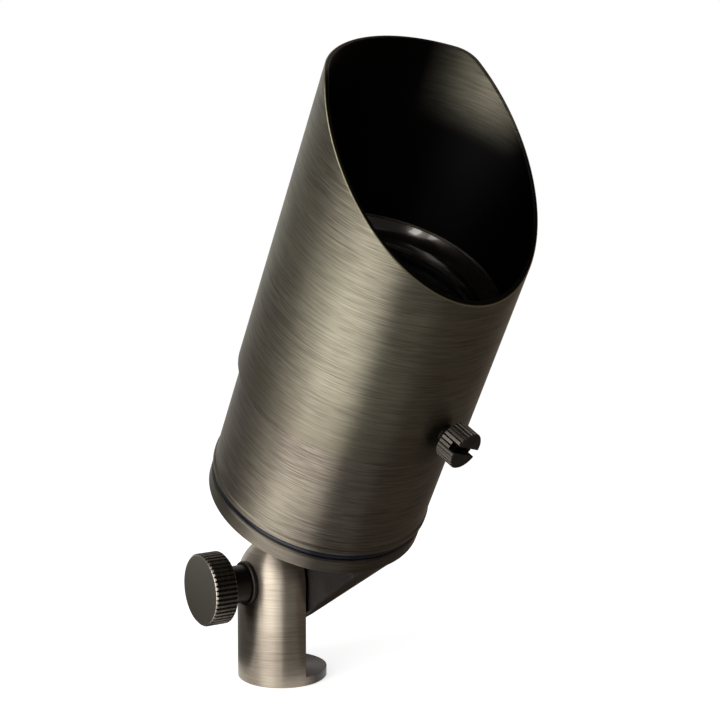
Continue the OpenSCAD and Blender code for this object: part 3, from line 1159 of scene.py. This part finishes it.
@dataclass(frozen=True)
class Bezel:
    """The ring that holds the glass, with a steep, slightly bowed face round it, in millimetres.

    Attributes:
        outer: its outer radius.
        lip: width of its flat top.
        inner: its inner radius.
        bottom: height of its underside.
        top: height of its top.
        bow: how far its face is bowed.
        bands: faces from the top of the bowed face to its foot.
        steps: segments round it.
    """

    outer: float = 28.5
    lip: float = 0.25
    inner: float = 26.1
    bottom: float = 100.4
    top: float = 104.75
    bow: float = 0.25
    bands: int = 16
    steps: int = 160

    def build(self) -> Shape:
        """Turns the ring.

        Returns:
            Its shape.
        """
        shape = bmesh.new()
        start, rise = self.outer - self.lip, self.top - self.bottom
        slope = math.atan2(rise, start - self.inner)
        profile = [(self.inner, self.bottom), (self.outer, self.bottom), (self.outer, self.top)]
        for band in range(self.bands + 1):
            share = band / self.bands
            bow = self.bow * math.sin(math.pi * share)
            radius = start + share * (self.inner - start) - bow * math.sin(slope)
            profile.append((radius, self.top - share * rise + bow * math.cos(slope)))
        spin_profile(shape, profile, self.steps)
        return shape


@dataclass(frozen=True)
class Knurled:
    """A knurled screw head on a threaded shank, in millimetres up its own axis.

    Attributes:
        tip: height of the thread's tip.
        head: height of the head's underside.
        face: height of the head's face.
        radius: radius of the head's crests.
        teeth: number of crests.
        groove: depth of the grooves between them.
        crest: share of a tooth that is flat.
        bevel: bevel of the head's rims.
        root: radius at the thread's root.
        thread: radius at the thread's crest.
        pitch: pitch of the thread.
        crest_flat: width of the thread's crest, as a share of the pitch.
        phase: turn of the crests, in teeth.
        sunk: how far the shank runs on into the head.
        fine: segments in a tooth.
        steps: segments round the shank.
    """

    tip: float = 29.6
    head: float = 34.05
    face: float = 39.75
    radius: float = 5.3
    teeth: int = 28
    groove: float = 0.4
    crest: float = 0.66
    bevel: float = 0.3
    root: float = 2.02
    thread: float = 2.45
    pitch: float = 0.8
    crest_flat: float = 0.125
    phase: float = 0.6
    sunk: float = 0.1
    fine: int = 10
    steps: int = 48

    def outline(self, angle: float) -> float:
        """Works out the radius of the knurl at an angle.

        Args:
            angle: the angle in radians.

        Returns:
            The radius.
        """
        place = (angle / math.tau * self.teeth - self.phase) % 1.0
        off = min(place, 1.0 - place) - self.crest / 2
        return self.radius - self.groove * max(off, 0.0) / (0.5 - self.crest / 2)

    def build(self) -> Shape:
        """Turns the thread and the shank's core, and adds the head.

        Returns:
            The screw's shape.
        """
        shape = bmesh.new()
        turns = math.ceil((self.head - self.tip) / self.pitch)
        middle, half_flat = self.tip + self.pitch / 2, self.pitch * self.crest_flat / 2
        thread = [(self.root, self.tip), (self.thread, middle - half_flat)]
        thread += [(self.thread, middle + half_flat), (self.root, self.tip + self.pitch)]
        spin_profile(shape, thread, self.steps, turns, self.pitch)
        core = [(0.0, self.tip), (self.root, self.tip), (self.root, self.head + self.sunk)]
        spin_profile(shape, core, self.steps)
        self.add_head(shape)
        return shape

    def add_head(self, shape: Shape) -> None:
        """Adds the head: rings that follow the knurl, closed by a flat at either end.

        Args:
            shape: the shape it is added to.
        """
        low, high, narrow = self.head, self.face, self.radius - self.bevel
        levels = ((low, narrow), (low + self.bevel, None), (high - self.bevel, None), (high, narrow))
        segments = self.teeth * self.fine
        rings = []
        for height, limit in levels:
            made = bmesh.ops.create_circle(shape, cap_ends=limit is not None, segments=segments, radius=1.0)
            for point in made["verts"]:
                angle = math.atan2(point.co.y, point.co.x)
                radius = limit or self.outline(angle)
                point.co = Vector((radius * math.cos(angle), radius * math.sin(angle), height))
            rings.append({edge for point in made["verts"] for edge in point.link_edges})
        for lower, upper in zip(rings, rings[1:]):
            bmesh.ops.bridge_loops(shape, edges=list(lower | upper))


@dataclass(frozen=True)
class Slot:
    """A screwdriver slot across a screw's face, in millimetres.

    Attributes:
        width: its width.
        depth: its depth.
        turn: its direction from the screw's own X axis, in degrees.
        length: length of the body that cuts it, past both sides of the head.
    """

    width: float = 2.0
    depth: float = 2.0
    turn: float = 65.0
    length: float = 20.0

    def build(self, face: float) -> Shape:
        """Makes the body that cuts the slot.

        Args:
            face: height of the screw's face.

        Returns:
            Its shape.
        """
        shape = bmesh.new()
        bmesh.ops.create_cube(shape, size=1.0)
        bmesh.ops.scale(shape, vec=(self.length, self.width, 2 * self.depth), verts=shape.verts)
        bmesh.ops.rotate(shape, matrix=Matrix.Rotation(math.radians(self.turn), 3, "Z"), verts=shape.verts)
        bmesh.ops.translate(shape, vec=(0.0, 0.0, face), verts=shape.verts)
        return shape


# The lamp's sub-assemblies

Finished = tuple[tuple[Plain, tuple[str, ...]], ...]


@dataclass
class Stem:
    """The round bar with its milled flat, the clamp knob, its washer and its stud.

    Attributes:
        frame: the part's places.
        effects: the shared node groups.
        knob_radius: radius of the knob's crests, in millimetres.
        knob_face: height of the knob's face along the tilt axis.
        knob_neck: height of the knob's neck along it.
        brass: the bar's finish.
        plain: the finishes of the other pieces.
    """

    frame: Frame
    effects: Effects
    knob_radius: float = 10.15
    knob_face: float = 26.22
    knob_neck: float = 19.6
    # The milled flat above the foot and the foot's side under it are painted darker as shade.
    brass: Brushed = Brushed(
        "stem_brass", (0.55, 0.482, 0.385), (0.375, 0.324, 0.258), (0.24, 0.195, 0.155),
        roughness=0.42, pitch=4.0, depth=0.002, seed=31.0, marked=0.45, ledge=(0.39, 2.78),
    )
    plain: Finished = (
        # The washer is painted as dark as the knob's neck, as shade.
        (Plain("washer_shaded_brass", (0.055, 0.047, 0.04), (0.045, 0.039, 0.034), 0.45, Metalness.METAL),
         ("knob_washer",)),
        (Plain("stud_steel", (0.5, 0.5, 0.49), (0.36, 0.36, 0.36), 0.32, Metalness.METAL),
         ("knob_stud",)),
    )

    def dress(self, nodes: Nodes) -> None:
        """Gives the nodes their finishes.

        Args:
            nodes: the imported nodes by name.
        """
        upright = Place(Vector((0.0, 0.0, 0.0)), Vector((0.0, 0.0, 1.0)))
        give(nodes["stem"], self.brass.build(self.effects, upright))
        # The knob's sides and neck are painted dark as shade; its face keeps the brass colour.
        knob = Dark(
            "knob_brass", PAINTED_SHADE_BRASS, (0.36, 0.32, 0.25), self.knob_radius, self.knob_face,
            neck=self.knob_neck, wear=0.65, face=(0.36, 0.325, 0.27),
        )
        give(nodes["tilt_knob"], knob.build(self.effects, self.frame.pivot))
        give_plain(self.plain, nodes, self.effects)


@dataclass
class Head:
    """The base cap, the seal, the barrel with its lens stack, and the lamp inside.

    Attributes:
        frame: the part's places.
        effects: the shared node groups.
        brass: the barrel's finish.
        cap_brass: the base cap's finish.
        plain: the finishes of the smaller pieces.
        ring_black: the finish of the ring round the glass.
        clear: the glass.
        optic: the lamp's front.
        glass: the glass's shape.
        bezel: the ring's shape.
    """

    frame: Frame
    effects: Effects
    brass: Brushed = Brushed(
        "barrel_brass", (0.25, 0.22, 0.171), (0.158, 0.139, 0.106), (0.113, 0.093, 0.077), seed=7.0
    )
    # The tongue's milled flat is painted darker as shade.
    cap_brass: Brushed = Brushed(
        "cap_brass", (0.2, 0.175, 0.14), (0.125, 0.109, 0.086), (0.085, 0.07, 0.059),
        depth=0.004, seed=3.0, marked=0.7, flat=(-0.56, 29.35),
    )
    plain: Finished = (
        (Plain("seal_rubber", (0.002, 0.0035, 0.008), (0.003, 0.0045, 0.009), 0.24, gloss=0.22),
         ("barrel_o_ring", "lens_gasket", "gland_seal")),
        (Plain("lead_rubber", (0.02, 0.02, 0.022), (0.035, 0.035, 0.036), 0.45),
         ("leads",)),
        (Plain("bracket_steel", (0.52, 0.52, 0.5), (0.4, 0.4, 0.39), 0.35, Metalness.METAL),
         ("socket_bracket", "bracket_screws", "socket_screws", "gland_locknut", "lamp_pins")),
        (Plain("gland_brass", (0.07, 0.06, 0.05), (0.04, 0.035, 0.03), 0.36, Metalness.METAL),
         ("cable_gland", "gland_nut")),
        (Plain("socket_ceramic", (0.78, 0.74, 0.65), (0.68, 0.63, 0.54), 0.6),
         ("lamp_socket",)),
        (Plain("lamp_black", (0.018, 0.018, 0.02), (0.03, 0.03, 0.032), 0.42),
         ("lamp_base", "lamp_body")),
    )
    ring_black: Plain = Plain(
        "lens_ring_black", (0.006, 0.0045, 0.004), (0.008, 0.006, 0.005), 0.2,
        coat=0.8, gloss=0.9, tint=(1.0, 0.86, 0.74),
    )
    clear: Clear = Clear("lens_glass", (0.9, 0.88, 0.84))
    optic: Clear = Clear("lamp_optic", (0.1, 0.1, 0.11), 0.02)
    glass: Domed = Domed()
    bezel: Bezel = Bezel()

    def dress(self, nodes: Nodes) -> None:
        """Gives the nodes their finishes and adds the glass and the ring round it.

        Args:
            nodes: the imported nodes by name.
        """
        give(nodes["barrel"], self.brass.build(self.effects, self.frame.head))
        give(nodes["base_cap"], self.cap_brass.build(self.effects, self.frame.head))
        give_plain(self.plain, nodes, self.effects)
        gloss = self.ring_black.build(self.effects)
        give(nodes["lens_ring"], gloss)
        give(self.make_bezel(), gloss)
        clear = self.clear.build(self.effects)
        give(nodes["lens"], clear)
        give(self.make_lens(), clear)
        give(nodes["lamp_optic"], self.optic.build(self.effects))

    def make_lens(self) -> bpy.types.Object:
        """Builds the glass with its rounded shoulder.

        Returns:
            The glass.
        """
        lens = into_object("lens_domed", self.glass.build(), self.frame.head.matrix())
        soften(lens, 30.0)
        return stand_in(lens, "barrel", "lens")

    def make_bezel(self) -> bpy.types.Object:
        """Builds the ring round the glass.

        Returns:
            The ring.
        """
        ring = into_object("lens_ring_turned", self.bezel.build(), self.frame.head.matrix())
        soften(ring, 40.0)
        return stand_in(ring, "barrel", "lens_ring")


@dataclass
class Shroud:
    """The sliding shroud and its thumb screw.

    Attributes:
        frame: the part's places.
        effects: the shared node groups.
        tube: the shroud's shape.
        screw: the thumb screw's shape.
        slot: the slot in its face.
        hole: radius of the screw's hole, in millimetres.
        brass: the shroud's finish.
    """

    frame: Frame
    effects: Effects
    tube: SlantedTube = SlantedTube()
    screw: Knurled = Knurled()
    slot: Slot = Slot()
    hole: float = 2.5
    # Its inside is painted dark as shade, with a painted sheen near the rim on one side.
    brass: Brushed = Brushed(
        "shroud_brass", (0.288, 0.267, 0.2), (0.18, 0.165, 0.119), (0.128, 0.11, 0.083),
        marked=0.8, bore=31.4, low=(68.0, 90.0),
    )

    def dress(self, nodes: Nodes) -> None:
        """Gives the nodes their finishes and adds the tube and the screw.

        Args:
            nodes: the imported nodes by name.
        """
        brass = self.brass.build(self.effects, self.frame.shroud)
        dark = Dark(
            "screw_brass", (0.03, 0.027, 0.024), (0.14, 0.125, 0.107), self.screw.radius, self.screw.face,
            crests=0.8, even=0.9, roughness=0.5,
        ).build(self.effects, self.frame.screw)
        give(nodes["shroud"], brass)
        give(nodes["thumb_screw"], dark)
        give(self.make_tube(), brass)
        give(self.make_screw(), dark)

    def make_tube(self) -> bpy.types.Object:
        """Builds the shroud's tube with its screw hole.

        Returns:
            The tube.
        """
        screw = self.frame.screw
        tube = into_object("shroud_tube", self.tube.build(), self.frame.shroud.turned_to(screw.axis))
        drill, hole, reach = bmesh.new(), self.hole, self.tube.outer
        bmesh.ops.create_cone(drill, cap_ends=True, segments=64, radius1=hole, radius2=hole, depth=2 * reach)
        bmesh.ops.translate(drill, vec=(0.0, 0.0, 1.5 * reach), verts=drill.verts)
        cut_out(tube, into_object("drill", drill, screw.matrix()))
        soften(tube, 60.0)
        return stand_in(tube, "shroud", "shroud")

    def make_screw(self) -> bpy.types.Object:
        """Builds the thumb screw with its thread and slot.

        Returns:
            The screw.
        """
        place = self.frame.screw.turned_to(-self.frame.head.axis)
        screw = into_object("thumb_screw_turned", self.screw.build(), place)
        cut_out(screw, into_object("slot_cutter", self.slot.build(self.screw.face), place))
        soften(screw, 25.0)
        return stand_in(screw, "thumb_screw", "thumb_screw")


def stand_in(piece: bpy.types.Object, body: str, node: str) -> bpy.types.Object:
    """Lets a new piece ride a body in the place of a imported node.

    Args:
        piece: the new piece.
        body: the body that it moves with.
        node: the node that it stands for.

    Returns:
        The piece.
    """
    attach(piece, body)
    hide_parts(node)
    LOG.info("%s stands for %s", piece.name, node)
    return piece


def give(node: bpy.types.Object, material: bpy.types.Material) -> None:
    """Puts a material into every slot of a piece.

    Args:
        node: the piece.
        material: its finish.
    """
    if not node.data.materials:
        node.data.materials.append(material)
    for index in range(len(node.data.materials)):
        node.data.materials[index] = material
    LOG.info("%s: finish %s", node.name, material.name)


def give_plain(finishes: Finished, nodes: Nodes, effects: Effects) -> None:
    """Builds plain finishes and puts each on its pieces.

    Args:
        finishes: each finish with the names of its nodes.
        nodes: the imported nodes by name.
        effects: the shared node groups.
    """
    for finish, names in finishes:
        material = finish.build(effects)
        for name in names:
            give(nodes[name], material)


# The studio

FLOOR_STRIP = ((0.016, 0.002), (0.75, 0.003))
CEILING = ((0.75, 1.4), (0.02, 1.5))
WALL = (FLOOR_STRIP[-1], *CEILING)


@dataclass(frozen=True)
class PhotoCamera:
    """The photograph's viewpoint, in the part's own frame.

    Attributes:
        middle: where it stands.
        yaw: turn from looking along +Y, in degrees.
        pitch: how far it looks down, in degrees.
        roll: its turn about its own line of sight, in degrees.
        lens: focal length on a sensor of the given width, in millimetres.
        sensor: width of the sensor, in millimetres.
        nearest: how near it sees.
    """

    middle: tuple[float, float, float] = (-0.25389, -0.44203, 0.16886)
    yaw: float = -32.345
    pitch: float = 8.645
    roll: float = 0.193
    lens: float = 92.06
    sensor: float = 36.0
    nearest: float = 0.01

    def build(self) -> bpy.types.Object:
        """Makes the camera and sets it as the scene's.

        Returns:
            The camera.
        """
        yaw, pitch, roll = (math.radians(angle) for angle in (self.yaw, self.pitch, self.roll))
        back = Vector((math.sin(yaw) * math.cos(pitch), -math.cos(yaw) * math.cos(pitch), math.sin(pitch)))
        right = Vector((0.0, 0.0, 1.0)).cross(back).normalized()
        up = back.cross(right)
        across = math.cos(roll) * right + math.sin(roll) * up
        upward = math.cos(roll) * up - math.sin(roll) * right
        camera = add_object("photo_camera", bpy.data.cameras.new("photo_camera"))
        camera.data.lens = self.lens
        camera.data.sensor_width = self.sensor
        camera.data.clip_start = self.nearest
        turn = Matrix((across, upward, back)).transposed()
        camera.matrix_world = Matrix.Translation(Vector(self.middle)) @ turn.to_4x4()
        bpy.context.scene.camera = camera
        return camera


@dataclass(frozen=True)
class Softbox:
    """A soft light.

    Attributes:
        name: its name.
        place: where it stands.
        faces: the point that it faces.
        size: its width and height.
        level: how bright its face is, where white paper in the open is 1.
        spin: its turn about the line towards that point, in degrees.
    """

    name: str
    place: tuple[float, float, float]
    faces: tuple[float, float, float]
    size: tuple[float, float]
    level: float
    spin: float = 0.0

    def build(self) -> bpy.types.Object:
        """Makes the light, unseen by the camera.

        Returns:
            The light.
        """
        lamp = bpy.data.lights.new(self.name, "AREA")
        lamp.shape = "RECTANGLE"
        lamp.size, lamp.size_y = self.size
        lamp.energy = self.level * math.pi * self.size[0] * self.size[1]
        light = add_object(self.name, lamp)
        light.location = self.place
        turn = (Vector(self.faces) - Vector(self.place)).to_track_quat("-Z", "Y")
        light.rotation_euler = (turn @ Quaternion((0.0, 0.0, 1.0), math.radians(self.spin))).to_euler()
        light.visible_camera = False
        return light


@dataclass(frozen=True)
class Card:
    """A grey card bent round the lamp, a strip of floor and a wall, that only metal and glass show.

    Attributes:
        name: its name.
        start: where it starts, in degrees from +X towards the front.
        end: where it ends.
        tone: how bright it shows, from black at 0 to white at 1.
        tint: its colour.
        profile: distance from the lamp and height of its bends.
        facet: widest face, in radians round the lamp.
    """

    name: str
    start: float
    end: float
    tone: float
    tint: Colour = WHITE
    profile: tuple[tuple[float, float], ...] = FLOOR_STRIP + CEILING
    facet: float = 0.1

    def build(self) -> bpy.types.Object:
        """Makes the card.

        Returns:
            The card.
        """
        shape = bmesh.new()
        points = [shape.verts.new((reach, 0.0, height)) for reach, height in self.profile]
        edges = [shape.edges.new(pair) for pair in zip(points, points[1:])]
        bmesh.ops.rotate(shape, matrix=Matrix.Rotation(math.radians(-self.start), 3, "Z"), verts=points)
        sweep = math.radians(self.end - self.start)
        bmesh.ops.spin(
            shape,
            geom=points + edges,
            cent=(0.0, 0.0, 0.0),
            axis=(0.0, 0.0, -1.0),
            angle=sweep,
            steps=math.ceil(sweep / self.facet),
        )
        material, shop, shader = new_material(self.name)
        shop.fill(shader, Base_Color=shade(BLACK), Specular_IOR_Level=0.0)
        shop.fill(shader, Emission_Color=shade(self.tint), Emission_Strength=self.tone)
        material.cycles.emission_sampling = "NONE"
        card = add_object(self.name, into_mesh(self.name, shape))
        card.data.materials.append(material)
        card.visible_camera = False
        card.visible_diffuse = False
        card.visible_shadow = False
        return card


@dataclass
class Studio:
    """The pale floor, the white surroundings, the soft lights and the grey cards.

    Attributes:
        boxes: the lights.
        cards: the grey cards.
        world_level: how strongly the surroundings light the part.
        floor_size: width of the floor.
        floor_tone: the floor's colour.
        floor_glow: how bright the floor shows by itself near the part.
        fading: distances from the part between which the floor turns white.
    """

    boxes: tuple[Softbox, ...] = (
        Softbox("key_light", (-0.515, -0.219, 0.34), (0.0, -0.03, 0.1), (0.42, 0.66), level=3.0),
        Softbox(
            "low_light", (-0.136, -0.076, 0.005), (-0.136, -0.076, 1.0), (0.15, 0.11), level=3.8, spin=-31.0
        ),
        Softbox("front_light", (-0.345, -0.5, 0.3), (0.02, -0.045, 0.11), (0.08, 0.13), level=6.0),
        Softbox("back_light", (0.5, 0.9, 0.6), (0.0, -0.03, 0.1), (0.6, 0.8), level=1.0),
    )
    cards: tuple[Card, ...] = (
        Card("right_back_card", -75.0, -5.0, 0.44, WARM),
        Card("right_card", -5.0, 60.0, 0.165, WARM),
        Card("front_right_card", 60.0, 85.0, 0.18, WARM),
        Card("front_floor_card", 85.0, 102.0, 0.37, profile=FLOOR_STRIP),
        Card("front_left_floor_card", 102.0, 120.0, 0.4, profile=FLOOR_STRIP),
        Card("front_wall_card", 85.0, 125.0, 0.1, profile=WALL),
        Card("left_back_card", 185.0, 255.0, 0.36),
        Card("back_card", 255.0, 285.0, 0.85),
        Card("left_floor_card", 180.0, 290.0, 0.055, profile=((0.016, 0.004), (0.16, 0.004))),
        Card("right_floor_card", -75.0, 50.0, 0.06, WARM, ((0.016, 0.004), (0.045, 0.004))),
        Card("top_card", 127.0, 192.0, 0.1, profile=CEILING),
    )
    world_level: float = 0.4
    floor_size: float = 12.0
    floor_tone: float = 0.9
    floor_glow: float = 0.6
    fading: tuple[float, float] = (0.2, 0.5)

    def build(self) -> None:
        """Makes the lights, the world, the floor and the cards."""
        for box in self.boxes:
            box.build()
        self.surround()
        self.floor()
        for card in self.cards:
            card.build()

    def surround(self) -> None:
        """Sets the world: white where it is seen, and a plain level where it lights."""
        world = bpy.data.worlds.new("studio")
        world.use_nodes = True
        world.cycles.sampling_method = "NONE"
        bpy.context.scene.world = world
        shop = Shop(world.node_tree)
        strength = shop.span(self.seen(shop), start=self.world_level, end=1.0)
        shop.fill(world.node_tree.nodes["Background"], Color=shade(WHITE), Strength=strength)

    @staticmethod
    def seen(shop: Shop) -> Socket:
        """Finds the rays that show the background: to the camera, in metal or through glass.

        Args:
            shop: the shop of the tree that asks.

        Returns:
            A socket that is 1 for those rays and 0 for the rest.
        """
        path = shop.add("ShaderNodeLightPath").outputs
        shown = shop.math("MAXIMUM", path["Is Camera Ray"], path["Is Glossy Ray"])
        return shop.math("MAXIMUM", shown, path["Is Transmission Ray"])

    def floor(self) -> None:
        """Lays the pale floor, which keeps the part's shadow and fades into the white surroundings."""
        shape = bmesh.new()
        bmesh.ops.create_grid(shape, x_segments=1, y_segments=1, size=self.floor_size / 2)
        floor = add_object("floor", into_mesh("floor", shape))
        material, shop, shader = new_material("floor_paper")
        place = shop.add("ShaderNodeTexCoord").outputs["Object"]
        far = shop.span(shop.vector("LENGTH", place), *self.fading)
        shown = self.seen(shop)
        faded = shop.math("MULTIPLY", far, shown)
        glow = shop.math("MULTIPLY", shown, shop.span(far, start=self.floor_glow, end=1.0))
        paper = (self.floor_tone,) * 3
        shop.fill(shader, Base_Color=shop.mix(faded, paper, BLACK), Roughness=0.9, Specular_IOR_Level=0.0)
        shop.fill(shader, Emission_Color=shade(WHITE), Emission_Strength=glow)
        floor.data.materials.append(material)


def main() -> None:
    """Loads the frame, sets the studio and dresses each sub-assembly."""
    logging.basicConfig(level=logging.INFO, format="%(name)s: %(message)s")
    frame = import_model()
    places = Frame.read(frame["joints"])
    bpy.context.scene.view_settings.view_transform = "Standard"
    PhotoCamera().build()
    Studio().build()
    effects = Effects()
    for assembly in (Stem(places, effects), Head(places, effects), Shroud(places, effects)):
        assembly.dress(frame["nodes"])


if __name__ == "__main__":
    main()
